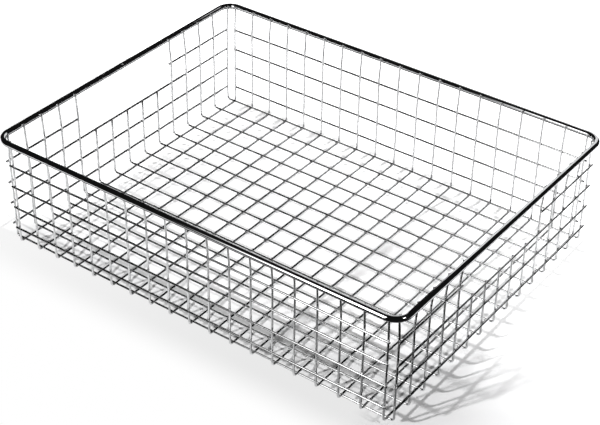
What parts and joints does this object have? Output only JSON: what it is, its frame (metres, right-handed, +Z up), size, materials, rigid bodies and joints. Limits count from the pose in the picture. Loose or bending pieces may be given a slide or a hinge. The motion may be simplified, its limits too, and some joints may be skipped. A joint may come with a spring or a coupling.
{
  "type": "wire breading basket",
  "caption": "Open rectangular wire basket for breading: square welded mesh floor and walls on a thick rim rod, with a hand-hold cut out of each end wall.",
  "frame": {"origin": "on the surface that the basket stands on, under the centre of its floor", "axes": "+Z up out of the open top, +X along the long side, +Y across it; the hand-holds are in the -X and +X walls"},
  "size_m": [0.492, 0.381, 0.128],
  "materials": {
    "plated_rim": "bright nickel-chrome plate on steel rod",
    "plated_wire": "bright nickel-chrome plate on steel wire"
  },
  "bodies": {
    "root": {"rim_rod": "plated_rim", "crosswise_wire_1": "plated_wire", "crosswise_wire_2": "plated_wire", "crosswise_wire_3": "plated_wire", "crosswise_wire_4": "plated_wire", "crosswise_wire_5": "plated_wire", "crosswise_wire_6": "plated_wire", "crosswise_wire_7": "plated_wire", "crosswise_wire_8": "plated_wire", "crosswise_wire_9": "plated_wire", "crosswise_wire_10": "plated_wire", "crosswise_wire_11": "plated_wire", "crosswise_wire_12": "plated_wire", "crosswise_wire_13": "plated_wire", "crosswise_wire_14": "plated_wire", "crosswise_wire_15": "plated_wire", "crosswise_wire_16": "plated_wire", "crosswise_wire_17": "plated_wire", "crosswise_wire_18": "plated_wire", "crosswise_wire_19": "plated_wire", "lengthwise_wire_1": "plated_wire", "lengthwise_wire_2": "plated_wire", "lengthwise_wire_3": "plated_wire", "lengthwise_wire_4": "plated_wire", "lengthwise_wire_5": "plated_wire", "lengthwise_wire_6": "plated_wire", "lengthwise_wire_7": "plated_wire", "lengthwise_wire_8": "plated_wire", "lengthwise_wire_9": "plated_wire", "lengthwise_wire_10": "plated_wire", "lengthwise_wire_11": "plated_wire", "lengthwise_wire_12": "plated_wire", "lengthwise_wire_13": "plated_wire", "lengthwise_wire_14": "plated_wire", "lengthwise_wire_15": "plated_wire", "front_rail_1": "plated_wire", "front_rail_2": "plated_wire", "front_rail_3": "plated_wire", "front_rail_4": "plated_wire", "back_rail_1": "plated_wire", "back_rail_2": "plated_wire", "back_rail_3": "plated_wire", "back_rail_4": "plated_wire", "left_rail_1_front": "plated_wire", "left_rail_1_back": "plated_wire", "left_rail_2": "plated_wire", "left_rail_3": "plated_wire", "left_rail_4": "plated_wire", "right_rail_1_front": "plated_wire", "right_rail_1_back": "plated_wire", "right_rail_2": "plated_wire", "right_rail_3": "plated_wire", "right_rail_4": "plated_wire"}
  },
  "joints": []
}
